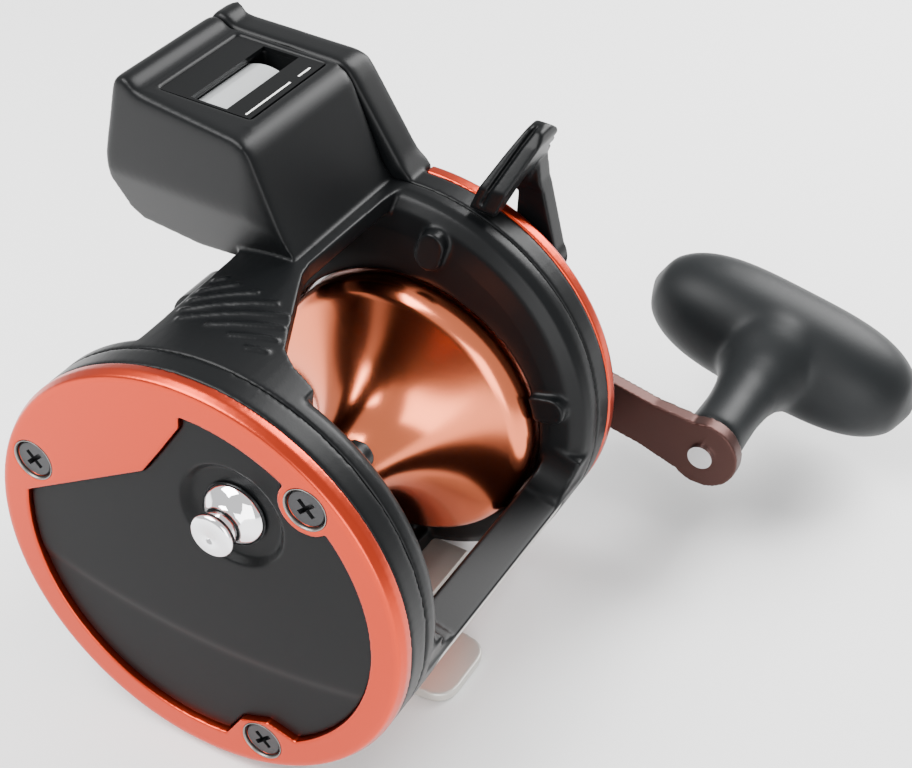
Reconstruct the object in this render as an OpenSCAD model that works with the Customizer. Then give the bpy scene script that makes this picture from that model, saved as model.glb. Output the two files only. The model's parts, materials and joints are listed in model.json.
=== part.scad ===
// Right-hand line-counter trolling reel, built as it comes apart on a bench.
// X runs along the spool (+X is the handle side), +Y points to the rod tip and +Z is up.
// The origin is the centre of the reel foot's flat underside.

/* [Frame] */
// Radius of the side plates and trims
plate_r = 38; // [37.8:0.1:38.2]
// Half the frame's width, from its middle to the seam with a side plate
half_w = 30; // [29.9:0.05:30.1]
// Height of the plates' common axis above the foot's underside
axle_h = 39; // [38.5:0.5:40]

/* [Foot] */
// Width of the two tongues that slide into a reel seat
tongue_w = 16; // [14:0.5:18]
// Overall length of the foot over both tongues
foot_len = 62; // [58:1:66]
// Thickness of the foot plate
foot_t = 2.5; // [2:0.1:2.5]

/* [Spool] */
// Radius of the spool's flange rims
flange_r = 26.1; // [25:0.1:26.1]
// Radius of the arbor at its narrowest
arbor_r = 8; // [7.5:0.5:9]

/* [Handle] */
// Distance from the drive shaft to the knob's spindle
crank_r = 66.6; // [60:0.1:70]
// Length of the knob's crossbar
knob_len = 59; // [50:1:62]
// Radius of the knob's crossbar at its middle
knob_r = 12; // [10:0.5:12.5]

/* [Counter] */
// Radius of the number wheels
wheel_r = 6.4; // [6:0.1:6.6]

/* [Hidden] */
$fn = 96;

// Centres in the plates' cross-section, as [forward, up] from the plate axis
SPOOL = [-3.2, -2.9];
DRIVE = [15, -3];
WORM = SPOOL + 33.5 * [cos(45), sin(45)];
ROD = [29, -8];
COUNTER = [25.7, 47.5];
CLICK = [-7.2, 16.4];
LEVER = [-19, 24.5];
crank_angle = 190.8;
KNOB = DRIVE + crank_r * [cos(crank_angle), sin(crank_angle)];

module_size = 0.7;
pinion_teeth = 10;
drive_teeth = 42;
worm_idler_teeth = 36;
worm_teeth = 15;
counter_drive_teeth = 12;
counter_idler_teeth = 25;
counter_teeth = 18;

// Layers along the spool's axis
plate_out = half_w + 4.5;
trim_out = half_w + 7.5;
wall_in = half_w - 6;
wall_out = half_w - 3.9;
cover_r = plate_r - 1.9;
recess_r = plate_r - 2.5;
shaft_r = 1.98;
bore_r = 2.05;
screw_r = 1.5;
screw_head_r = 3.3;
screw_circle = 32.3;
left_screw_angles = [20, 130, 247.5];
right_screw_angles = [102.6, 167.6, 262, 312];
plate_screw_places = [polar(31.5, 5), polar(31.5, 60), polar(31.5, 150), polar(31.5, 280)];
click_travel = 2.6;

function pitch_r(teeth) = module_size * teeth / 2;
function meet(p, q, rp, rq, side) =
    let (d = norm(q - p), a = (rp * rp - rq * rq + d * d) / (2 * d), h = side * sqrt(rp * rp - a * a),
         u = (q - p) / d)
    p + a * u + h * [u[1], -u[0]];
function heading(p, q) = atan2(q[1] - p[1], q[0] - p[0]);
function polar(r, a) = [r * cos(a), r * sin(a)];

WORM_IDLER = meet(SPOOL, WORM, pitch_r(pinion_teeth + worm_idler_teeth),
                  pitch_r(worm_idler_teeth + worm_teeth), 1);
COUNTER_IDLER = meet(WORM, COUNTER, pitch_r(counter_drive_teeth + counter_idler_teeth),
                     pitch_r(counter_idler_teeth + counter_teeth), -1);

// Places its children's origin on the plates' axis
module at_axle() { translate([0, 0, axle_h]) children(); }
module at(p) { translate([0, p[0], p[1]]) children(); }
// Extrudes a [forward, up] outline along X
module slab(x0, x1) { translate([x0, 0, 0]) rotate([90, 0, 90]) linear_extrude(x1 - x0) children(); }
// Turns a [radius, x] outline about X
module turned() { rotate([90, 0, 90]) rotate_extrude() children(); }
module rod(r, x0, x1) { translate([x0, 0, 0]) rotate([0, 90, 0]) cylinder(r = r, h = x1 - x0); }
module tube(r_out, r_in, x0, x1) {
    difference() {
        rod(r_out, x0, x1);
        rod(r_in, x0 - 1, x1 + 1);
    }
}
module wedge(a0, a1) {
    reach = 3 * plate_r;
    polygon(concat([[0, 0]], [for (i = [0:4]) polar(reach, a0 + (a1 - a0) * i / 4)]));
}
module sector(r_in, r_out, a0, a1) {
    intersection() {
        difference() {
            circle(r = r_out);
            circle(r = r_in);
        }
        wedge(a0, a1);
    }
}
// Gear outline with one tooth centred on the angle given
module gear_outline(teeth, tooth_angle) {
    r = pitch_r(teeth);
    step = 360 / teeth;
    tip = r + 0.85 * module_size;
    root = r - 1.15 * module_size;
    polygon([for (i = [0:teeth - 1], k = [[root, -0.27], [tip, -0.11], [tip, 0.11], [root, 0.27]])
        polar(k[0], tooth_angle + step * (i + k[1]))]);
}
module gear(teeth, tooth_angle, x0, x1, hole_r) {
    difference() {
        slab(x0, x1) gear_outline(teeth, tooth_angle);
        rod(hole_r, x0 - 1, x1 + 1);
    }
}
module cross_head_screw(x_head, x_tip) {
    s = sign(x_tip - x_head);
    difference() {
        union() {
            turned() polygon([[0, x_head], [screw_head_r - 0.3, x_head], [screw_head_r, x_head + s * 0.25],
                [screw_r, x_head + s * 2], [0, x_head + s * 2]]);
            rod(screw_r, min(x_head + s * 1.9, x_tip), max(x_head + s * 1.9, x_tip));
        }
        for (a = [45, 135]) rotate([a, 0, 0]) translate([x_head + s * 0.4, 0, 0]) cube([1.6, 3.6, 0.8], center = true);
    }
}
// Coil drawn as its sleeve, the space that the wire fills
module spring_sleeve(r, wire, x0, x1) { tube(r + wire / 2, r - wire / 2, x0, x1); }

// Outline of the counter housing seen from the handle side
counter_profile = [
    [4.4, 37], [6.4, 40.8], [12.6, 54.2], [14.2, 55.9], [16, 56.4], [37.4, 56.7], [38.6, 58],
    [40.4, 58.4], [42, 57.4], [42.6, 55.6], [45.4, 42], [45, 38], [42, 31.5], [39.5, 30], [26.5, 30], [19, 31.5]
];

// Outline of its casing on the gear side, which also covers the counter's idler
casing_profile = [
    [1.1, 37.8], [3.9, 41], [12.6, 53.6], [14.2, 55.6], [16, 56.4], [37.4, 56.7], [38.6, 58],
    [40.4, 58.4], [42, 57.4], [42.6, 55.6], [45.4, 42], [43.6, 34.6], [34, 19], [24, 14], [1.1, 33]
];

/* Frame and foot */

module frame_ring() {
    turned() polygon([[20, wall_in - 0.4], [26, wall_in - 0.4], [31.5, wall_in], [35.2, wall_in + 0.8],
        [37.3, wall_in + 2.2], [plate_r, wall_in + 3.8], [plate_r, half_w], [recess_r, half_w],
        [recess_r, wall_out], [20, wall_out]]);
}
// Raised ends of the screw bosses on a ring's inner face
module ring_bumps(s, angles) {
    for (a = angles) rotate([a, 0, 0]) slab(s > 0 ? wall_in - 1.7 : -wall_in - 1.9, s > 0 ? wall_in + 1.9 : -wall_in + 1.7) {
        translate([screw_circle + 0.4, 0]) circle(r = 2.5);
        translate([screw_circle - 2.2, -2.5]) square([2.6, 5]);
        translate([screw_circle - 2.2, 0]) circle(r = 2.5);
    }
}
// The counter's box: its left wall leans forward and its lower edge is cut away
module counter_housing() {
    difference() {
        intersection() {
            slab(-1.4, half_w) polygon(counter_profile);
            linear_extrude(80) polygon([[-1.4, 0], [-1.4, 13.5], [3.4, 46], [half_w, 46], [half_w, 0]]);
        }
        translate([2.8, 45.6, 41.5]) rotate([0, 107.6, 173.5]) translate([-50, -50, 0]) cube([100, 100, 30]);
    }
}
// A bar or bridge on the plates' outer radius, from ring to ring
module span(r_in, a0, a1) {
    slab(-wall_in - 2, wall_in + 2) sector(r_in, plate_r, a0, a1);
    slab(-wall_in - 4.5, wall_in + 4.5) sector(recess_r + 0.1, plate_r, a0, a1);
}
module rear_bar() {
    span(31, 194, 217);
    for (s = [-1, 1]) rotate([194, 0, 0]) translate([s * (wall_in - 5.6), 31, 0]) difference() {
        union() {
            translate([s > 0 ? 0 : -7.2, 0, -6]) cube([7.2, plate_r - 31.4, 7]);
            translate([s > 0 ? 0 : -9.4, recess_r - 30.8, -6]) cube([9.4, 1.9, 7]);
        }
        rotate([-90, 0, 0]) translate([0, 6, -1]) cylinder(r = 5.7, h = 10);
    }
}
module thumb_bridge() {
    intersection() {
        span(34.6, 20, 160);
        linear_extrude(60) polygon([[-28.5, 15.6], [28.5, 18.4], [28.5, 1.5], [22, 2.2], [0, 2.4], [-3, 1.8],
            [-20.5, -6.4], [-22.8, -9.5], [-24.2, -14], [-28.5, -14]]);
    }
}
module thumb_ribs() {
    // Eight slanted ribs: each one's distance from the last is the same, and the middle ones are the longest
    for (k = [[0, 14.9, 17.2], [1, 12.6, 19], [2, 9, 20], [3, 5.4, 20.8], [4, 3.2, 20.6], [5, 3.4, 15.4],
              [6, 4, 11.4], [7, 5, 8.4]]) {
        intersection() {
            tube(plate_r + 0.35, plate_r - 1, -26, 6);
            rotate([0, 0, 24.8]) translate([-2.4 - 2.95 * k[0], k[1], 30]) cube([0.7, k[2] - k[1], 12]);
        }
    }
}
module frame() color([0.13, 0.14, 0.14]) at_axle() {
    difference() {
        union() {
            difference() {
                union() {
                    frame_ring();
                    mirror([1, 0, 0]) frame_ring();
                    rear_bar();
                    thumb_bridge();
                    span(32, 302, 318);
                    translate([-wall_in - 2, -9, -36.4]) cube([2 * wall_in + 4, 18, 4.4]);
                    counter_housing();
                }
                // Wheel chamber, open towards the handle side, and the window
                translate([4.6, 17.4, 39.2]) cube([21.2, 16.6, 15.5]);
                rod_clear_counter();
                translate([6.4, 22, 50]) cube([21.4, 7.4, 12]);
                translate([5.8, 17.2, 55.6]) cube([22.6, 17.8, 4]);
            }
            ring_bumps(1, right_screw_angles);
            ring_bumps(-1, left_screw_angles);
            thumb_ribs();
        }
        for (s = [-1, 1]) {
            at(SPOOL) rod(flange_r + 0.5, s > 0 ? 20 : -wall_out - 2, s > 0 ? wall_out + 2 : -20);
            at(WORM) rod(4.7, s > 0 ? 20 : -wall_out - 1, s > 0 ? wall_out + 1 : -20);
            at(ROD) rod(1.55, s > 0 ? 20 : -wall_out - 1, s > 0 ? wall_out + 1 : -20);
        }
        for (a = left_screw_angles) at(polar(screw_circle, a)) rod(screw_r + 0.05, -half_w - 1, -wall_in - 0.5);
        for (a = right_screw_angles) at(polar(screw_circle, a)) rod(screw_r + 0.05, wall_in + 0.5, half_w + 1);
        // Seat of the foot plate and the screws that hold it
        translate([-27.2, -16.2, -40]) cube([54.4, 32.4, 3.5]);
        for (x = [-19, 19], y = [-5, 5]) translate([x, y, -37]) cylinder(r = screw_r + 0.05, h = 4);
        // Label recess along the rear bar
        slab(-22, 22) sector(plate_r - 0.6, plate_r + 2, 196, 212);
        // Reset button's guide in the front of the counter housing
        translate([16, 35.2, 48.5]) rotate([-90, 0, 0]) {
            cylinder(r = 3.05, h = 6);
            cylinder(r = 2.65, h = 20);
        }
        for (p = plate_screw_places) at(p) rod(1.05, wall_in + 0.6, wall_out + 1);
    }
}
// Bores of the counter shaft and the reset rod's chamber
module rod_clear_counter() {
    at(COUNTER) rod(1.55, 2.6, half_w + 1);
    at(COUNTER) rod(7.4, 4.6, 25.8);
}

module label_strip() color([0.72, 0.71, 0.69]) at_axle()
    slab(-21.8, 21.8) sector(plate_r - 0.55, plate_r - 0.15, 196.3, 211.7);

module reel_foot() color([0.8, 0.79, 0.76]) {
    difference() {
        union() {
            translate([-27, -16, 0]) cube([54, 32, foot_t]);
            intersection() {
                // Tongues with rounded corners and a top that slopes down to each tip
                linear_extrude(foot_t) {
                    square([tongue_w, foot_len - 8], center = true);
                    for (sx = [-1, 1], sy = [-1, 1])
                        translate([sx * (tongue_w / 2 - 4), sy * (foot_len / 2 - 4)]) circle(r = 4);
                    square([tongue_w - 8, foot_len], center = true);
                }
                rotate([90, 0, 90]) translate([0, 0, -tongue_w]) linear_extrude(2 * tongue_w)
                    polygon([[-foot_len / 2, 0], [foot_len / 2, 0], [foot_len / 2, foot_t - 0.7], [16, foot_t],
                        [-16, foot_t], [-foot_len / 2, foot_t - 0.7]]);
            }
        }
        for (x = [-19, 19], y = [-5, 5]) translate([x, y, -1]) {
            cylinder(r = screw_r + 0.05, h = 6);
            cylinder(r = 2.6, h = 2.2);
        }
    }
}
module foot_screws() color([0.7, 0.7, 0.7])
    for (x = [-19, 19], y = [-5, 5]) translate([x, y, 0]) {
        difference() {
            union() {
                translate([0, 0, 0.15]) cylinder(r = 2.5, h = 1);
                cylinder(r = screw_r, h = 5.5);
            }
            for (a = [0, 90]) rotate([0, 0, a]) cube([3.2, 0.7, 1.4], center = true);
        }
    }

/* Left side: cover, clicker and levelwind gears */

module left_side_plate() color([0.14, 0.15, 0.15]) at_axle()
    difference() {
        union() {
            turned() polygon([[0, -plate_out], [plate_r - 0.2, -plate_out], [plate_r, -plate_out + 0.2],
                [plate_r, -half_w], [36, -half_w], [36, -half_w - 0.1], [recess_r, -half_w - 0.1],
                [recess_r, -32.5], [0, -32.5]]);
            at(SPOOL) rod(7, -33, -30.6);
            at(WORM_IDLER) rod(1.5, -33, -28.4);
            for (a = left_screw_angles) at(polar(screw_circle, a)) rod(3, -33, -half_w);
        }
        at(SPOOL) rod(5.05, -33.2, -30);
        at(WORM) rod(1.55, -34, -half_w);
        for (a = left_screw_angles) at(polar(screw_circle, a)) rod(screw_r + 0.05, -40, -20);
        // Slot for the click button's stud, along the line to the spool
        at(CLICK) rotate([heading(CLICK, SPOOL), 0, 0]) {
            rod(1.7, -36, -30);
            translate([-36, 0, -1.7]) cube([6, click_travel, 3.4]);
            translate([0, click_travel, 0]) rod(1.7, -36, -30);
        }
    }
// Outline of the black insert, with bites for the front-top trim and two screws
module insert_outline(grow) {
    difference() {
        circle(r = 32.3 + grow);
        polygon([[45, 3.4 + grow], [33, 3.4 + grow], [8.4 + grow, 18.6 + grow], [5 + grow, 24],
            [1.2 + grow, 30.2], [0.4 + grow, 45], [45, 45]]);
        translate(polar(screw_circle, 130)) circle(r = 4.9 - grow);
        translate(polar(screw_circle + 4, 132)) circle(r = 5.4 - grow);
        rotate(247.5) translate([1.2 * grow, 0]) polygon([[28.1, -2.8], [36, -13.4], [36, 13.4], [28.1, 2.8]]);
    }
}
module left_trim_plate() color([0.86, 0.36, 0.24]) at_axle()
    difference() {
        turned() polygon([[0, -plate_out - 0.02], [plate_r, -plate_out - 0.02], [plate_r, -plate_out - 1.5],
            [37.4, -trim_out + 0.15], [36.6, -trim_out], [0, -trim_out]]);
        slab(-40, -30) insert_outline(0.12);
        for (a = left_screw_angles) at(polar(screw_circle, a)) {
            rod(screw_r + 0.05, -40, -30);
            turned() polygon([[0, -trim_out - 1], [3.75, -trim_out - 1], [3.75, -trim_out], [3.45, -trim_out + 0.6],
                [screw_r + 0.05, -trim_out + 2.5], [0, -trim_out + 2.5]]);
        }
    }
module left_insert_panel() color([0.15, 0.16, 0.16]) at_axle()
    difference() {
        slab(-trim_out + 0.9, -plate_out - 0.02) insert_outline(0);
        at(CLICK) turned() polygon([[0, -trim_out - 1], [9.4, -trim_out - 1], [9.4, -trim_out + 0.9],
            [8.2, -trim_out + 2.2], [0, -trim_out + 2.2]]);
        at(CLICK) rotate([heading(CLICK, SPOOL), 0, 0]) {
            rod(1.7, -40, -30);
            translate([-40, 0, -1.7]) cube([10, click_travel, 3.4]);
            translate([0, click_travel, 0]) rod(1.7, -40, -30);
        }
    }
module left_screws() color([0.1, 0.1, 0.1]) at_axle()
    for (a = left_screw_angles) at(polar(screw_circle, a)) cross_head_screw(-trim_out + 0.4, -wall_in - 0.7);
module spool_bearings() color([0.75, 0.75, 0.77]) at_axle() at(SPOOL) {
    tube(5.03, bore_r, -32.4, -30.4);
    tube(5.03, bore_r, 26, 28.2);
}

module click_button() color([0.85, 0.85, 0.87]) at_axle() at(CLICK) {
    // Domed base, waisted post and flat top; the stud carries the pawl
    turned() polygon([[0, -35.4], [5.3, -35.4], [5.6, -35.8], [5.4, -36.4], [4.8, -37.2], [3.8, -38], [3.1, -38.5],
        [2.9, -39.2], [3.2, -40.1], [3.8, -41.2], [3.75, -41.8], [3.3, -42.2], [0, -42.3]]);
    rod(1.4, -35.6, -27.2);
}
module click_pawl() color([0.7, 0.68, 0.6]) at_axle() at(CLICK)
    rotate([heading(CLICK, SPOOL), 0, 0]) difference() {
        union() {
            rod(2.6, -28.4, -27.4);
            slab(-28.4, -27.4) polygon([[0, -2.4], [7, -1.1], [9.6, -0.25], [9.6, 0.25], [7, 1.1], [0, 2.4]]);
        }
        rod(1.45, -30, -26);
    }
module click_spring() color([0.75, 0.75, 0.75]) at_axle() at(CLICK)
    spring_sleeve(2.2, 0.5, -32.1, -28.7);
module click_gear() color([0.75, 0.62, 0.35]) at_axle() at(SPOOL) difference() {
    slab(-28.4, -27.1) polygon([for (i = [0:11], k = [[6.2, -0.34], [8, -0.12], [8, 0.12], [6.2, 0.34]])
        polar(k[0], heading(SPOOL, CLICK) + 30 * (i + 0.5 + k[1]))]);
    rod(2, -30, -26);
}

/* Spool and levelwind */

lip_x = 18.5;
lip_r = 24.3;
function arbor_curve(x) = arbor_r + (lip_r - arbor_r) * pow(abs(x) / lip_x, 2.4);
module spool() color([0.8, 0.42, 0.25]) at_axle() at(SPOOL)
    difference() {
        turned() polygon(concat(
            [[2, -25], [2, 25]],
            [[flange_r, 25], [flange_r, 21.2], [25.7, 20], [25, 19.1]],
            [for (i = [20:-1:-20]) [arbor_curve(lip_x * i / 20), lip_x * i / 20]],
            [[25, -19.1], [25.7, -20], [flange_r, -21.2], [flange_r, -25]]));
        // Dished ends, a web's thickness inside the arbor's curve
        for (s = [-1, 1]) turned() polygon(concat(
            [for (i = [7:20]) [arbor_curve(lip_x * i / 20) - 0.4, s * (lip_x * i / 20 + 2.6)]],
            [[24.6, s * 22.4], [24.6, s * 26], [5.2, s * 26], [5.2, s * 11]]));
    }
module spool_shaft() color([0.78, 0.78, 0.8]) at_axle() at(SPOOL) {
    rod(shaft_r, -32.3, 41.6);
    // Cross pin that the pinion's slot drops over
    rotate([heading(SPOOL, DRIVE), 0, 0]) translate([31.3, -3.2, -0.6]) cube([1.2, 6.4, 1.2]);
}
module spool_gear() color([0.82, 0.68, 0.36]) at_axle() at(SPOOL)
    gear(pinion_teeth, heading(SPOOL, WORM_IDLER), -30.2, -28.7, 2);
module worm_idler_gear() color([0.9, 0.9, 0.86]) at_axle() at(WORM_IDLER)
    gear(worm_idler_teeth, heading(WORM_IDLER, SPOOL) + 180 / worm_idler_teeth, -30.2, -28.7, 1.57);

// The idler's tooth phase where it meets the worm gear
function idler_phase(idler, from, to, teeth) =
    let (first = heading(idler, from) + 180 / teeth, step = 360 / teeth, a = heading(idler, to),
         k = (a - first) / step)
    (k - floor(k));
module worm_gear() color([0.9, 0.9, 0.86]) at_axle() at(WORM)
    gear(worm_teeth, heading(WORM, WORM_IDLER) + (0.5 + idler_phase(WORM_IDLER, SPOOL, WORM, worm_idler_teeth))
        * 360 / worm_teeth, -30.2, -28.7, 1.5);
worm_pitch = 8;
module worm_shaft() color([0.8, 0.78, 0.74]) at_axle() at(WORM) {
    rod(shaft_r - 0.5, -33.4, 33.2);
    difference() {
        rod(2.9, -24, 24);
        // Crossed grooves, drawn as slanted cuts at the worm's pitch
        for (x = [-20:worm_pitch / 2:20], a = [-38, 38]) translate([x, 0, 0]) rotate([0, 0, a])
            difference() {
                rod(4, -0.55, 0.55);
                rod(2.1, -1, 1);
            }
    }
}
module worm_bushings() color([0.85, 0.85, 0.8]) at_axle() at(WORM)
    for (s = [-1, 1]) tube(3.55, 1.53, s > 0 ? 24.3 : -25.9, s > 0 ? 25.9 : -24.3);
module levelwind_shield() color([0.12, 0.12, 0.13]) at_axle() at(WORM) difference() {
    tube(4.6, 3.6, -25.9, 25.9);
    translate([-21, 1.5, -1.3]) cube([42, 4, 2.6]);
}
module line_guide() color([0.16, 0.17, 0.17]) at_axle() {
    lean = heading(WORM, ROD);
    difference() {
        union() {
            at(WORM) rod(6.2, -4.5, 4.5);
            at(ROD) rod(3, -4.5, 4.5);
            at(WORM) rotate([lean, 0, 0]) translate([-4.5, 3, -1.6]) cube([9, norm(ROD - WORM) - 4, 3.4]);
        }
        at(WORM) rod(4.68, -6, 6);
        at(ROD) rod(1.56, -6, 6);
        // Eye that the line runs through, and the pawl's seat
        at(WORM) rotate([lean, 0, 0]) {
            translate([-2.2, 9.5, -5]) cube([4.4, 13, 12]);
        }
        at(WORM) rotate([0, 0, 0]) translate([0, 4, 0]) rotate([-90, 0, 0]) cylinder(r = 1.25, h = 4);
    }
}
module guide_pawl() color([0.78, 0.76, 0.7]) at_axle() at(WORM)
    translate([0, 3.05, 0]) rotate([-90, 0, 0]) cylinder(r = 1.2, h = 3.6);
module guide_rod() color([0.78, 0.78, 0.8]) at_axle() at(ROD) rod(1.5, -wall_out + 0.1, wall_out - 0.1);

/* Line counter */

counter_x0 = 30.8;
counter_x1 = 32.2;
module counter_drive_gear() color([0.92, 0.92, 0.88]) at_axle() at(WORM)
    gear(counter_drive_teeth, heading(WORM, COUNTER_IDLER), counter_x0, counter_x1, 1.5);
module counter_idler_gear() color([0.92, 0.92, 0.88]) at_axle() at(COUNTER_IDLER)
    gear(counter_idler_teeth, heading(COUNTER_IDLER, WORM) + 180 / counter_idler_teeth,
        counter_x0, counter_x1, 1.57);
module counter_gear() color([0.92, 0.92, 0.88]) at_axle() at(COUNTER)
    gear(counter_teeth, heading(COUNTER, COUNTER_IDLER)
        + (0.5 + idler_phase(COUNTER_IDLER, WORM, COUNTER, counter_idler_teeth)) * 360 / counter_teeth,
        counter_x0, counter_x1, 1.5);
module counter_shaft() color([0.8, 0.8, 0.8]) at_axle() at(COUNTER) rod(1.48, 2.8, 33);
module number_wheel(i, hole_r) {
    x0 = 7 + i * 5;
    at(COUNTER) difference() {
        rod(wheel_r, x0, x0 + 4.6);
        rod(hole_r, 0, 30);
        tube(wheel_r + 1, wheel_r - 0.25, x0 - 0.01, x0 + 0.35);
    }
}
module hundreds_wheel() color([0.9, 0.9, 0.88]) at_axle() number_wheel(0, 1.53);
module tens_wheel() color([0.9, 0.9, 0.88]) at_axle() number_wheel(1, 1.53);
module units_wheel() color([0.9, 0.9, 0.88]) at_axle() number_wheel(2, 1.5);
module window_panel() color([0.2, 0.21, 0.21]) at_axle()
    difference() {
        translate([6, 17.4, 55.62]) cube([22.2, 17.4, 0.7]);
        translate([6.6, 22.2, 54]) cube([21, 7, 4]);
    }
module window_lens() color([0.8, 0.85, 0.88, 0.5]) at_axle()
    intersection() {
        at(COUNTER) tube(8.1, 7.5, 6.45, 23.4);
        translate([0, 22.02, 50]) cube([30, 7.36, 10]);
    }
module reset_button() color([0.16, 0.17, 0.17]) at_axle() translate([16, 0, 48.5]) rotate([-90, 0, 0])
    translate([0, 0, 38.6]) {
        cylinder(r = 2.6, h = 7.4);
        cylinder(r = 3, h = 2.4);
    }
module reset_spring() color([0.75, 0.75, 0.75]) at_axle() translate([16, 35.25, 48.5]) rotate([-90, 0, 0])
    difference() {
        cylinder(r = 2.6, h = 3.3);
        translate([0, 0, -1]) cylinder(r = 2, h = 6);
    }

/* Gear side */

// The cam arm points from the lever's pivot to the yoke
cam_angle = heading(LEVER, SPOOL + polar(9, 120));
YOKE_POSTS = [SPOOL + polar(9, 120), SPOOL + polar(9, 240)];
PAWL = DRIVE + polar(14.5, -62);
pawl_lift = 20;
module gear_plate() color([0.6, 0.6, 0.62]) at_axle()
    difference() {
        union() {
            rod(recess_r - 0.3, wall_out + 0.15, 27.8);
            at(DRIVE) rod(6, 27, 30.2);
            for (p = YOKE_POSTS) at(p) rod(1.1, 27, 39);
            at(PAWL) rod(1.4, 27, 31.7);
        }
        at(SPOOL) rod(5.05, 20, 30);
        at(WORM) rod(1.6, 20, 30);
        at(DRIVE) rod(3.05, 20, 32);
        for (a = right_screw_angles) at(polar(screw_circle, a)) rod(3.1, 20, 30);
        for (p = plate_screw_places) at(p) rod(1.05, 20, 30);
    }
module gear_plate_screws() color([0.7, 0.7, 0.7]) at_axle()
    for (p = plate_screw_places) at(p) difference() {
        union() {
            rod(1, wall_in + 0.8, 28.2);
            rod(2, 27.85, 28.8);
        }
        translate([28.8, 0, 0]) cube([0.9, 2.8, 0.5], center = true);
    }

module right_side_plate() color([0.14, 0.15, 0.15]) at_axle() {
    difference() {
        union() {
            turned() polygon([[recess_r, half_w], [plate_r, half_w], [plate_r, plate_out - 0.2],
                [plate_r - 0.2, plate_out], [recess_r, plate_out]]);
            difference() {
                slab(half_w, 37.3) polygon(casing_profile);
                rod(recess_r, 20, plate_out);
                rod(cover_r + 0.12, plate_out - 0.1, 40);
                // Softened outer edge of the casing's top
                translate([37.3, 0, 57]) rotate([0, 45, 0]) cube([2.6, 200, 2.6], center = true);
            }
            for (a = right_screw_angles) at(polar(screw_circle + 0.6, a)) rod(3, half_w, plate_out);
        }
        for (a = right_screw_angles) at(polar(screw_circle, a)) rod(screw_r + 0.05, 20, 40);
        // Chamber for the counter's gears
        at(COUNTER) rod(7.4, half_w - 1, 35.4);
        at(COUNTER_IDLER) rod(9.7, half_w - 1, 35.4);
        at(WORM) rod(5.6, half_w - 1, 35.4);
        slab(half_w - 1, 35.4) polygon([WORM + [-4, 3], WORM + [4, 2], COUNTER_IDLER + [6, 0], COUNTER + [5, 0],
            COUNTER + [-5, 0], COUNTER_IDLER + [-8, 0]]);
    }
    // Stud of the counter's idler
    at(COUNTER_IDLER) rod(1.5, 30.6, 35.8);
}
module right_trim_ring() color([0.86, 0.36, 0.24]) at_axle()
    intersection() {
        turned() polygon([[cover_r + 0.2, plate_out + 0.02], [plate_r, plate_out + 0.02],
            [plate_r, trim_out - 0.9], [37.4, trim_out], [cover_r + 0.2, trim_out]]);
        slab(30, 40) wedge(88.8, 388.4);
    }
module right_cover() color([0.14, 0.15, 0.15]) at_axle()
    difference() {
        union() {
            turned() polygon([[0, 39.7], [21.6, 39.4], [24.2, 36.9], [34.4, 36.5], [34.4, 34.6], [cover_r, 34.6],
                [cover_r, 37.9], [35.4, 38.5], [25.6, 38.7], [22.8, 41], [21.5, 41.4], [0, 41.6]]);
            at(SPOOL) rod(6, 39.7, 43.4);
            at(DRIVE) rod(7.2, 39.7, 43.6);
            at(LEVER) rod(3.6, 36.6, 38.75);
            for (a = right_screw_angles) at(polar(screw_circle, a)) rod(3, 34.6, 38);
        }
        at(SPOOL) rod(bore_r, 38, 41.9);
        at(SPOOL) rod(3.6, 36, 40.7);
        at(DRIVE) rod(5.15, 36, 45);
        at(LEVER) rod(1.55, 30, 45);
        for (a = right_screw_angles) at(polar(screw_circle, a)) {
            rod(screw_r + 0.05, 20, 45);
            turned() polygon([[0, 39.5], [3.65, 39.5], [3.65, 38], [screw_r + 0.05, 35.9], [0, 35.9]]);
        }
    }
module right_screws() color([0.1, 0.1, 0.1]) at_axle()
    for (a = right_screw_angles) at(polar(screw_circle, a)) cross_head_screw(38.1, wall_in + 0.7);

module pinion_gear() color([0.82, 0.68, 0.36]) at_axle() at(SPOOL) difference() {
    union() {
        slab(31.2, 36) gear_outline(pinion_teeth, heading(SPOOL, DRIVE));
        rod(2.75, 35.9, 37.2);
        rod(3.3, 37, 37.6);
    }
    rod(bore_r, 30, 39);
    rotate([heading(SPOOL, DRIVE), 0, 0]) translate([30, -6, -0.7]) cube([2.7, 12, 1.4]);
}
module clutch_yoke() color([0.2, 0.2, 0.2]) at_axle()
    difference() {
        union() {
            slab(36.15, 36.85) polygon([SPOOL + [-7.4, 9.6], SPOOL + [-2.4, 9.9], SPOOL + [0.8, 5.6], SPOOL + [0.8, -5.6],
                SPOOL + [-2.4, -9.9], SPOOL + [-7.4, -9.6]]);
            // Tab that rides on the cam's ramp
            at(LEVER) rotate([cam_angle, 0, 0]) translate([36.15, 14.4, -1.2]) cube([0.7, 6.4, 2.4]);
        }
        for (p = YOKE_POSTS) at(p) rod(1.15, 30, 40);
        at(SPOOL) rod(2.85, 30, 40);
        at(SPOOL) translate([30, 0, -2.85]) cube([10, 12, 5.7]);
    }
module yoke_springs() color([0.75, 0.75, 0.75]) at_axle()
    for (p = YOKE_POSTS) at(p) spring_sleeve(1.6, 0.4, 36.9, 39.2);
module clutch_cam() color([0.68, 0.66, 0.62]) at_axle() at(LEVER) rotate([cam_angle, 0, 0]) difference() {
    union() {
        slab(35.1, 36) polygon([[0, -3], [0, 3], [13, 1.6], [18.2, 1.6], [18.2, -8.2], [13.6, -8.2], [4, -3]]);
        rod(3, 34.4, 36);
        // Ramp that lifts the yoke as the lever turns
        translate([0, 18.2, 0]) rotate([90, 0, 0]) linear_extrude(4) polygon([[35.5, -1.4], [36, -1.4],
            [37.6, -7], [37.6, -8.2], [35.5, -8.2]]);
    }
    rod(1.52, 30, 40);
}
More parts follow.
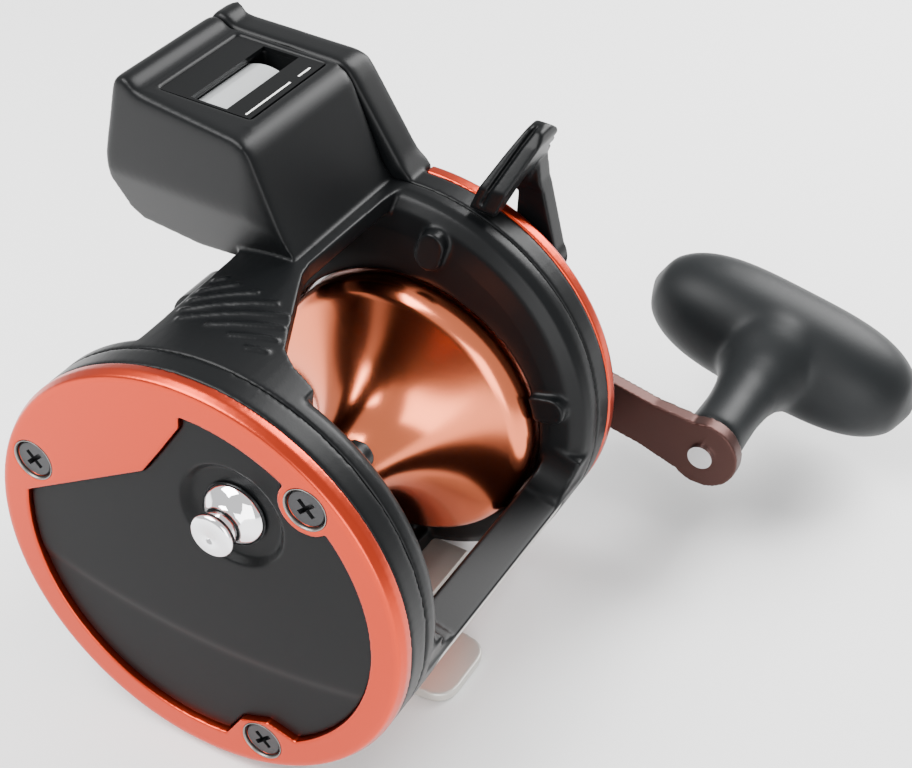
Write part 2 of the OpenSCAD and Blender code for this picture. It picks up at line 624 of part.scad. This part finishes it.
// Seen from behind: a saddle that straddles the trim ring
module lever_saddle()
    rotate([90, 0, 0]) translate([0, 0, -20]) linear_extrude(60)
        polygon([[29.2, 36.9], [28.7, 38], [28.7, 42.2], [33.4, 49.6], [35.4, 51.6], [38.4, 52], [40.8, 50.4],
            [42.5, 45], [43, 38], [43, 18], [39.1, 18], [39.1, 38], [37.8, 41.4], [36, 42.8], [34.2, 41],
            [32.6, 37.3], [32.2, 36.9]]);
module clutch_lever() color([0.15, 0.16, 0.16]) at_axle()
    difference() {
        union() {
            intersection() {
                lever_saddle();
                // Seen from the side: a thumb pad that leans back, and a leg down to the pivot
                union() {
                    slab(20, 50) polygon([[-10.6, 37.5], [-15.4, 37], [-20.4, 49.8], [-20, 51.4], [-18.6, 52.3],
                        [-17, 51.7], [-14.6, 47], [-12, 41.6]]);
                    slab(38.6, 50) {
                        polygon([[-14.5, 24.5], [-14.6, 40], [-14.9, 44.4], [-18.2, 44.4], [-18.9, 40],
                            [-23.5, 24.5]]);
                        translate(LEVER) circle(r = 4.6);
                    }
                }
            }
            at(LEVER) rod(4.6, 39.1, 43);
            at(LEVER) rod(1.5, 34.2, 41);
        }
        // Groove along the pad's outer face and over its top
        difference() {
            translate([26, -12.4, 37.6]) rotate([22.6, 0, 0]) translate([0, -0.3, 1.2]) cube([11, 0.6, 16]);
            translate([0.7, 0, -0.6]) lever_saddle();
        }
        // Two short grip cuts in the leg's outer edge
        for (k = [0, 1]) translate([41.8, -19, 48.3 - 1.9 * k]) rotate([0, 20, 0]) cube([3, 12, 0.55], center = true);
    }
module tension_cap() color([0.2, 0.2, 0.21]) at_axle() at(SPOOL) difference() {
    union() {
        rod(7.3, 42.3, 45);
        slab(42.3, 44.6) polygon([for (i = [0:47]) polar(i % 2 == 0 ? 8 : 7.6, i * 7.5)]);
    }
    rod(6.06, 42, 43.7);
}
module drive_shaft() color([0.72, 0.72, 0.74]) at_axle() at(DRIVE) {
    rod(3, wall_out + 0.1, 57.6);
    // Ratchet flange
    slab(30.5, 31.4) polygon([for (i = [0:15], k = [[7.6, 0], [9.2, 0.88]]) polar(k[0], 22.5 * (i + k[1]))]);
}
module drive_gear() color([0.82, 0.68, 0.36]) at_axle() at(DRIVE)
    gear(drive_teeth, heading(DRIVE, SPOOL) + 180 / drive_teeth, 32, 34.2, 3.06);
module drag_washers() color([0.18, 0.17, 0.16]) at_axle() at(DRIVE) {
    tube(9.5, 3.1, 31.45, 31.95);
    tube(9.5, 3.1, 34.25, 34.75);
}
module pressure_plate() color([0.75, 0.75, 0.76]) at_axle() at(DRIVE) tube(10, 3.05, 34.8, 35.8);
module drag_springs() color([0.72, 0.72, 0.75]) at_axle() at(DRIVE)
    for (k = [0, 1]) turned() polygon([[3.1, 35.9 + k * 0.8], [6.5, 36.15 + k * 0.8], [6.5, 36.5 + k * 0.8],
        [3.1, 36.25 + k * 0.8]]);
module drag_sleeve() color([0.75, 0.75, 0.77]) at_axle() at(DRIVE) tube(5, 3.05, 37.6, 44.2);
// Silent anti-reverse pawl, drawn lifted clear of the ratchet
module ratchet_pawl() color([0.6, 0.6, 0.62]) at_axle() at(PAWL)
    rotate([heading(PAWL, DRIVE) + 27 + pawl_lift, 0, 0]) difference() {
        union() {
            rod(2.4, 30.5, 31.4);
            slab(30.5, 31.4) polygon([[0, -2.2], [7.9, -0.2], [7.9, 0.2], [0, 2.2]]);
        }
        rod(1.46, 30, 32);
    }
module star_drag() color([0.16, 0.17, 0.17]) at_axle() at(DRIVE) difference() {
    union() {
        rod(8, 44.4, 50.2);
        for (i = [0:4]) rotate([18 + 72 * i, 0, 0]) {
            slab(46.4, 49.2) polygon([[0, -4.2], [12, -2.7], [20.5, -3.2], [20.5, 3.2], [12, 2.7], [0, 4.2]]);
            at([20.5, 0]) rod(3.3, 46.2, 49.6);
        }
    }
    rod(3.06, 40, 60);
}

/* Handle */

arm_x = 52.5;
arm_t = 3;
module handle_arm() color([0.29, 0.23, 0.22]) at_axle() at(DRIVE) rotate([crank_angle, 0, 0])
    difference() {
        slab(arm_x, arm_x + arm_t) {
            circle(r = 8);
            translate([-13, 0]) circle(r = 5.5);
            polygon([[-13, -5.5], [0, -8], [12, -5.6], [crank_r - 12, -5.1], [crank_r - 4, -6],
                [crank_r - 4, 6], [crank_r - 12, 5.1], [12, 5.6], [0, 8], [-13, 5.5]]);
            translate([crank_r, 0]) circle(r = 7);
        }
        rod(3.05, 50, 60);
        translate([0, crank_r, 0]) rod(2.05, 50, 60);
    }
module handle_nut() color([0.75, 0.75, 0.77]) at_axle() at(DRIVE) {
    difference() {
        union() {
            rod(5, 55.55, 59.4);
            slab(55.55, 58) circle(r = 5.8, $fn = 6);
        }
        rod(3.02, 50, 57.7);
    }
    tube(6.4, 3.05, 50.9, 52.45);
}
module knob_spindle() color([0.76, 0.75, 0.74]) at_axle() at(KNOB) {
    rod(2.4, arm_x - 0.9, arm_x - 0.02);
    rod(2, arm_x - 0.5, 86);
}
module knob_washer() color([0.1, 0.1, 0.1]) at_axle() at(KNOB) tube(5.6, 2.05, 55.6, 56.6);
knob_axis_x = 94;
module handle_knob() color([0.14, 0.15, 0.16]) at_axle() at(KNOB) rotate([crank_angle - 180, 0, 0])
    difference() {
        union() {
            // Crossbar, fuller at its middle, and the waisted neck
            translate([knob_axis_x, 0, 0]) rotate([90, 0, 0]) rotate_extrude()
                polygon(concat([[0, -knob_len / 2]],
                    [for (i = [-11:11]) let (t = i / 12)
                        [knob_r * pow(1 - pow(abs(t), 3.4), 0.5), t * knob_len / 2]],
                    [[0, knob_len / 2]]));
            turned() polygon([[2.2, 56.9], [5.4, 56.9], [5.9, 57.6], [5.7, 62], [5.6, 68], [6.2, 74], [7.6, 79],
                [9.8, 83.5], [11, 88], [2.2, 90]]);
        }
        rod(2.05, 50, 86.6);
    }

frame();
label_strip();
reel_foot();
foot_screws();
left_side_plate();
left_trim_plate();
left_insert_panel();
left_screws();
spool_bearings();
click_button();
click_pawl();
click_spring();
click_gear();
spool();
spool_shaft();
spool_gear();
worm_idler_gear();
worm_gear();
worm_shaft();
worm_bushings();
levelwind_shield();
line_guide();
guide_pawl();
guide_rod();
counter_drive_gear();
counter_idler_gear();
counter_gear();
counter_shaft();
units_wheel();
tens_wheel();
hundreds_wheel();
window_panel();
window_lens();
reset_button();
reset_spring();
gear_plate();
gear_plate_screws();
right_side_plate();
right_trim_ring();
right_cover();
right_screws();
pinion_gear();
clutch_yoke();
yoke_springs();
clutch_lever();
clutch_cam();
tension_cap();
drive_shaft();
drive_gear();
drag_washers();
pressure_plate();
drag_springs();
drag_sleeve();
ratchet_pawl();
star_drag();
handle_arm();
handle_nut();
knob_spindle();
knob_washer();
handle_knob();
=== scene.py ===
"""Looks of a line-counter trolling reel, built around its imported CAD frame.

X runs along the spool towards the handle, Y to the rod tip and Z up.
Lengths in the tables are in millimetres.
"""
import json
import math

import bpy
import numpy as np
from mathutils import Matrix, Vector


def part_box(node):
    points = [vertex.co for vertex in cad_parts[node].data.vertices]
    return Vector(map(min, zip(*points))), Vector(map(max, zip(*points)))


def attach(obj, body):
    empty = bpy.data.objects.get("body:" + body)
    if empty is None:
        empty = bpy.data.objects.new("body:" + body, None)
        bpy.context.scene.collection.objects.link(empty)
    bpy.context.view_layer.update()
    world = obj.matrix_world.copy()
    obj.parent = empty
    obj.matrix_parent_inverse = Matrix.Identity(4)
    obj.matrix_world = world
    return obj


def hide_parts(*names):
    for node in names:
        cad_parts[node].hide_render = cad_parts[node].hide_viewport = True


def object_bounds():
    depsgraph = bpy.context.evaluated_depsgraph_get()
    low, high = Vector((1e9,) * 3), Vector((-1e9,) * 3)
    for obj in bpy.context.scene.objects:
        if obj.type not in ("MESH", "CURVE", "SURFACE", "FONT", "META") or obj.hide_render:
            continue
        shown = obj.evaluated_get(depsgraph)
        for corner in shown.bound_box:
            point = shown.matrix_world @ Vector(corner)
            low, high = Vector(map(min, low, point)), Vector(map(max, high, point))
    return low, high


MM = 0.001
AXLE = Vector((0, 0, 39))

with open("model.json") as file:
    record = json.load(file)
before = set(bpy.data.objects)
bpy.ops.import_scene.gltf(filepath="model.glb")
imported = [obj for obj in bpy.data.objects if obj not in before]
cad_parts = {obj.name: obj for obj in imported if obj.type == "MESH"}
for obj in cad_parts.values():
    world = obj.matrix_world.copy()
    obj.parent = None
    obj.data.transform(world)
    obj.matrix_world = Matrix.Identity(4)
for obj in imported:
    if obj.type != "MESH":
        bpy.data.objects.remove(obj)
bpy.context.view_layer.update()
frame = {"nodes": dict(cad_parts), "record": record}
NODES = frame["nodes"]


# Materials


def material(name, color, roughness, metallic=0.0, grain=None, streaks=None, **sockets):
    """A Principled material; grain and streaks are (scale per metre, depth in metres) of a fine relief."""
    mat = bpy.data.materials.new(name)
    mat.use_nodes = True
    tree = mat.node_tree
    shader = tree.nodes["Principled BSDF"]
    shader.inputs["Base Color"].default_value = (*color, 1)
    shader.inputs["Roughness"].default_value = roughness
    shader.inputs["Metallic"].default_value = metallic
    for socket, value in sockets.items():
        shader.inputs[socket.replace("_", " ")].default_value = value
    relief = grain or streaks
    if relief:
        where = tree.nodes.new("ShaderNodeTexCoord")
        mapping = tree.nodes.new("ShaderNodeMapping")
        mapping.inputs["Scale"].default_value = (1, 1, 1) if grain else (1, 0.02, 1)
        noise = tree.nodes.new("ShaderNodeTexNoise")
        noise.inputs["Scale"].default_value = relief[0]
        noise.inputs["Detail"].default_value = 2
        bump = tree.nodes.new("ShaderNodeBump")
        bump.inputs["Strength"].default_value = 1
        bump.inputs["Distance"].default_value = relief[1]
        tree.links.new(where.outputs["Object"], mapping.inputs["Vector"])
        tree.links.new(mapping.outputs["Vector"], noise.inputs["Vector"])
        tree.links.new(noise.outputs["Fac"], bump.inputs["Height"])
        tree.links.new(bump.outputs["Normal"], shader.inputs["Normal"])
    return mat


MATERIALS = {
    "black_composite": material(
        "black_composite", (0.003, 0.0034, 0.0038), 0.36, grain=(2600, 0.000008), Specular_IOR_Level=0.15),
    "black_insert": material(
        "black_insert", (0.003, 0.0033, 0.0036), 0.4, grain=(3200, 0.000008), Specular_IOR_Level=0.11),
    "orange_anodised": material(
        "orange_anodised", (0.53, 0.05, 0.021), 0.3, 1.0, grain=(4000, 0.000002)),
    "copper_anodised": material("copper_anodised", (0.78, 0.19, 0.085), 0.2, 1.0),
    "steel": material("steel", (0.62, 0.62, 0.63), 0.25, 1.0),
    "foot_metal": material("foot_metal", (0.62, 0.6, 0.56), 0.42, 0.6, streaks=(2500, 0.000003)),
    "chrome": material("chrome", (0.9, 0.9, 0.92), 0.05, 1.0),
    "brass": material("brass", (0.8, 0.58, 0.25), 0.25, 1.0),
    "white_gear": material("white_gear", (0.8, 0.8, 0.76), 0.45),
    "black_screw": material("black_screw", (0.03, 0.03, 0.032), 0.32, 0.6),
    "bronze_arm": material("bronze_arm", (0.06, 0.028, 0.024), 0.36, 0.85),
    "rubber": material(
        "rubber", (0.004, 0.0052, 0.006), 0.48, grain=(3000, 0.00001), Specular_IOR_Level=0.24),
    "silver_label": material("silver_label", (0.6, 0.6, 0.57), 0.35, 1.0),
    # Painted reflection: the clear magnifier lens is drawn as a part-metal silver grey that stands in for
    # the reflection on it, and it hides the number wheels behind it.
    "lens": material("lens", (0.72, 0.74, 0.75), 0.14, 0.45, Transmission_Weight=0.35, IOR=1.3),
    "spring_steel": material("spring_steel", (0.6, 0.6, 0.62), 0.3, 1.0),
    "friction": material("friction", (0.06, 0.055, 0.05), 0.7),
}
SCREW_RING = material("screw_ring", (0.2, 0.19, 0.18), 0.35, 0.9)
INDEX_WHITE = material("index_white", (0.85, 0.85, 0.83), 0.5)
FLOOR = material("floor", (0.93, 0.93, 0.93), 0.9)

SLOTS = {part["node"]: part["material_slot"] for part in frame["record"]["subparts"]}
BODY = {node: body for body, members in frame["record"]["behaviour"]["bodies"].items() for node in members}

for node, shown in NODES.items():
    shown.data.materials.clear()
    shown.data.materials.append(MATERIALS[SLOTS[node]])


# Pieces


def add_piece(name, mesh, mat, body, stands_for=()):
    piece = bpy.data.objects.new(name, mesh)
    bpy.context.scene.collection.objects.link(piece)
    mesh.materials.clear()
    mesh.materials.append(mat)
    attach(piece, body)
    if stands_for:
        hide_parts(*stands_for)
    return piece


def smoothed(mesh, rounds, share=None, factor=0.5):
    """Moves each vertex towards its neighbours' mean, which rounds every edge by a little.

    share(points) gives how much of that each vertex takes, from 0 to 1."""
    count = len(mesh.vertices)
    points = np.empty(count * 3)
    mesh.vertices.foreach_get("co", points)
    points = points.reshape(-1, 3)
    edges = np.empty(len(mesh.edges) * 2, dtype=np.int64)
    mesh.edges.foreach_get("vertices", edges)
    edges = edges.reshape(-1, 2)
    degree = np.bincount(edges.ravel(), minlength=count).clip(1)[:, None]
    step = factor if share is None else factor * share(points)[:, None]
    for _ in range(rounds):
        total = np.zeros_like(points)
        for axis in range(3):
            total[:, axis] += np.bincount(edges[:, 0], points[edges[:, 1], axis], count)
            total[:, axis] += np.bincount(edges[:, 1], points[edges[:, 0], axis], count)
        points += step * (total / degree - points)
    return points


def write_points(mesh, points):
    mesh.vertices.foreach_set("co", points.ravel())
    mesh.polygons.foreach_set("use_smooth", np.ones(len(mesh.polygons), dtype=bool))
    mesh.update()


def moulded(node, voxel, rounds, reshape=None, share=None, extra=None):
    """A copy of a CAD node's shape with softly rounded edges, shown in its place.

    extra is (rounds, share) of a second smoothing that rounds one region further."""
    source = NODES[node].data.copy()
    holder = bpy.data.objects.new(node + "_source", source)
    bpy.context.scene.collection.objects.link(holder)
    holder.matrix_world = NODES[node].matrix_world.copy()
    remesh = holder.modifiers.new("voxels", "REMESH")
    remesh.mode = "VOXEL"
    remesh.voxel_size = voxel * MM
    bpy.context.view_layer.update()
    evaluated = holder.evaluated_get(bpy.context.evaluated_depsgraph_get())
    mesh = bpy.data.meshes.new_from_object(evaluated)
    mesh.transform(holder.matrix_world)
    bpy.data.objects.remove(holder)
    points = smoothed(mesh, rounds, share)
    if extra:
        write_points(mesh, points)
        points = smoothed(mesh, extra[0], extra[1])
    if reshape:
        points = reshape(points)
    write_points(mesh, points)
    return add_piece(node + "_soft", mesh, MATERIALS[SLOTS[node]], BODY[node], [node])


def lathe(node, name, profile, centre, segments=192, shown_instead=True):
    """A turned piece about an axis along X; profile is a closed list of (radius, x)."""
    profile = np.array(profile)
    angles = np.linspace(0, 2 * math.pi, segments, endpoint=False)
    rings = []
    for radius, x in profile:
        rings.append(np.stack([np.full(segments, x), centre[0] + radius * np.cos(angles),
                               centre[1] + radius * np.sin(angles)], axis=1))
    points = np.concatenate(rings) * MM
    count = len(profile)
    faces = []
    for i in range(count):
        after = (i + 1) % count
        for k in range(segments):
            ahead = (k + 1) % segments
            here, there = i * segments, after * segments
            faces.append((here + k, here + ahead, there + ahead, there + k))
    mesh = bpy.data.meshes.new(name)
    mesh.from_pydata([tuple(point) for point in points], [], faces)
    mesh.validate()
    mesh.polygons.foreach_set("use_smooth", np.ones(len(mesh.polygons), dtype=bool))
    mesh.update()
    stands_for = [node] if shown_instead else []
    return add_piece(name, mesh, MATERIALS[SLOTS[node]], BODY[node], stands_for)


def strip(name, corners, mat, node):
    """A thin flat marking from its corners, which lie anticlockwise seen from outside."""
    mesh = bpy.data.meshes.new(name)
    mesh.from_pydata([tuple(Vector(corner) * MM) for corner in corners], [], [tuple(range(len(corners)))])
    mesh.update()
    return add_piece(name, mesh, mat, BODY[node])


def centre_of(node):
    low, high = (Vector(corner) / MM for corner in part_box(node))
    return (low + high) / 2


# Moulded and cast pieces with their edges rounded


CREASE_DEPTH, CREASE_BLEND = 0.28, 0.45
INSERT_FACE_X = -36.0


def from_axle(points):
    """X, Y and Z in millimetres, measured from the plates' axis."""
    return (points / MM - np.array(AXLE)).T


def crease_panel(points):
    """Sinks the lower part of the black insert by a hair, along a shallow curve."""
    x, y, z = from_axle(points)
    line = -13.6 + 0.0042 * (y + 2) ** 2
    below = 1 / (1 + np.exp(-(line - z) / CREASE_BLEND))
    points[:, 0] += np.where(x < INSERT_FACE_X, CREASE_DEPTH * below * MM, 0)
    return points


RIB_SHARE = 0.1


def ramp(value, start, end):
    return np.clip((value - start) / (end - start), 0, 1)


def off_ribs(points):
    """Little smoothing on the thumb bridge's ribs, which it would wash out."""
    x, y, z = from_axle(points)
    on_bridge = (np.hypot(y, z) > 36.6) & (z > 28)
    ribs = on_bridge & (x < 4.5) & (x > -26.5) & (y > -15) & (y < 15)
    return np.where(ribs, RIB_SHARE, 1.0)


def counter_corners(points):
    """The counter's outer corners, clear of the recess for its face panel."""
    x, y, z = from_axle(points)
    recess = (x > 3.6) & (x < 29.4) & (y > 15.4) & (y < 36.6) & (z > 49)
    return np.where(recess, 0, ramp(z, 37.5, 40.5) * ramp(np.hypot(y, z), 38.6, 40.5))


# Voxel size and rounds of smoothing of each piece
SOFT_NODES = {
    "left_side_plate": (0.4, 3),
    "right_cover": (0.4, 5),
    "clutch_lever": (0.22, 10),
    "handle_knob": (0.5, 30),
    "handle_arm": (0.25, 3),
    "star_drag": (0.3, 6),
    "left_trim_plate": (0.22, 2),
    "right_trim_ring": (0.25, 2),
    "reel_foot": (0.25, 3),
    "levelwind_shield": (0.25, 2),
    "line_guide": (0.25, 4),
    "reset_button": (0.15, 3),
}
for node, (voxel, rounds) in SOFT_NODES.items():
    moulded(node, voxel, rounds)
moulded("frame", 0.32, 5, share=off_ribs, extra=(45, counter_corners))
moulded("right_side_plate", 0.34, 4, extra=(30, counter_corners))
moulded("left_insert_panel", 0.22, 3, crease_panel)

# Turned pieces with smooth curves

ARBOR_R, LIP_R, LIP_X, RIM_R = 8.0, 24.3, 18.5, 26.1


def arbor(x):
    return ARBOR_R + (LIP_R - ARBOR_R) * (abs(x) / LIP_X) ** 2.4


def spool_profile():
    outer = [(arbor(x), x) for x in np.linspace(-LIP_X, LIP_X, 121)]
    lip = [
        (24.75, 18.85), (25.15, 19.3), (25.5, 19.8), (25.8, 20.4),
        (26.0, 21.1), (RIM_R, 21.9), (RIM_R, 24.8), (25.95, 25.0),
        (24.75, 25.0), (24.6, 24.85),
    ]
    inner = [(arbor(x) - 0.4, x + 2.6) for x in np.linspace(LIP_X * 0.9, 6.5, 30)]
    hub = [(5.3, 11.0), (5.2, 24.9), (5.0, 25.0), (2.05, 25.0)]
    half = lip + [(24.6, 22.4)] + inner + hub
    mirrored = [(radius, -x) for radius, x in reversed(half)]
    return outer + half + mirrored


spool_centre = centre_of("spool")
lathe("spool", "spool_turned", spool_profile(), (spool_centre.y, spool_centre.z), 256)

button_centre = centre_of("click_button")
BUTTON_CURVE = [
    (0.01, -35.4), (5.3, -35.4), (5.55, -35.6), (5.6, -35.8), (5.55, -36.1), (5.4, -36.4), (5.15, -36.8),
    (4.8, -37.2), (4.3, -37.6), (3.8, -38.0), (3.35, -38.3), (3.1, -38.6), (2.93, -39.1), (3.0, -39.6),
    (3.2, -40.1), (3.5, -40.7), (3.75, -41.2), (3.8, -41.5), (3.72, -41.85), (3.5, -42.08), (3.2, -42.22),
    (2.5, -42.28), (0.01, -42.3),
]
lathe("click_button", "click_button_turned", BUTTON_CURVE, (button_centre.y, button_centre.z), 96)

# Screw seats on the left trim, as thin dark liners of the countersinks

SCREW_CIRCLE = 32.3
LEFT_SCREW_ANGLES = (20, 130, 247.5)
SEAT_CURVE = [
    (3.72, -37.52), (3.72, -37.46), (3.42, -36.88), (3.34, -36.9), (3.5, -37.3), (3.58, -37.52),
]
for number, angle in enumerate(LEFT_SCREW_ANGLES):
    turn = math.radians(angle)
    seat_at = AXLE.yz + SCREW_CIRCLE * Vector((math.cos(turn), math.sin(turn)))
    seat = lathe("left_screws", f"screw_seat_{number}", SEAT_CURVE, seat_at, 64, shown_instead=False)
    seat.data.materials[0] = SCREW_RING

# Index line on the counter's face

INDEX_RUNS = ((6.8, 19.6), (22.0, 25.6))
INDEX_BACK, INDEX_FRONT, INDEX_LIFT = 18.5, 18.85, 0.02
panel_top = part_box("window_panel")[1][2] / MM + INDEX_LIFT
for number, (x0, x1) in enumerate(INDEX_RUNS):
    corners = [(x0, INDEX_BACK, panel_top), (x1, INDEX_BACK, panel_top),
               (x1, INDEX_FRONT, panel_top), (x0, INDEX_FRONT, panel_top)]
    strip(f"index_line_{number}", corners, INDEX_WHITE, "window_panel")

# Studio

CAMERA_AT = (-204.1, -128.4, 241.2)
CAMERA_RIGHT = Vector((0.485, -0.873, 0.049))
CAMERA_UP = Vector((0.517, 0.331, 0.789))
CAMERA_LENS, SENSOR_WIDTH = 72.45, 36
FLOOR_REACH, FLOOR_GAP = 3000 * MM, 0.0002


def add_camera():
    data = bpy.data.cameras.new("camera")
    data.lens = CAMERA_LENS
    data.sensor_width = SENSOR_WIDTH
    data.clip_start = 0.01
    camera = bpy.data.objects.new("camera", data)
    bpy.context.scene.collection.objects.link(camera)
    right = CAMERA_RIGHT.normalized()
    back = right.cross(CAMERA_UP).normalized()
    up = back.cross(right)
    place = Matrix((right, up, back)).transposed().to_4x4()
    place.translation = Vector(CAMERA_AT) * MM
    camera.matrix_world = place
    bpy.context.scene.camera = camera


def add_light(name, at, aim, size, power):
    data = bpy.data.lights.new(name, "AREA")
    data.shape = "RECTANGLE"
    data.size, data.size_y = (length * MM for length in size)
    data.energy = power
    light = bpy.data.objects.new(name, data)
    light.location = Vector(at) * MM
    light.rotation_euler = (Vector(aim) - Vector(at)).to_track_quat("-Z", "Y").to_euler()
    bpy.context.scene.collection.objects.link(light)


def add_floor():
    far = FLOOR_REACH
    mesh = bpy.data.meshes.new("floor")
    corners = [(-far, -far, 0), (far, -far, 0), (far, far, 0), (-far, far, 0)]
    mesh.from_pydata(corners, [], [(0, 1, 2, 3)])
    mesh.materials.append(FLOOR)
    floor = bpy.data.objects.new("floor", mesh)
    floor.location.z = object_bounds()[0][2] - FLOOR_GAP
    bpy.context.scene.collection.objects.link(floor)


add_camera()
add_floor()
add_light("key", (-260, 260, 520), (0, 0, 50), (420, 420), 8.0)
add_light("fill", (-420, -320, 160), (-10, 0, 40), (320, 420), 2.5)
add_light("rear", (420, -120, 360), (20, 0, 50), (260, 420), 5.0)
world = bpy.data.worlds.new("studio")
world.use_nodes = True
world.node_tree.nodes["Background"].inputs["Color"].default_value = (1, 1, 1, 1)
world.node_tree.nodes["Background"].inputs["Strength"].default_value = 0.95
bpy.context.scene.world = world
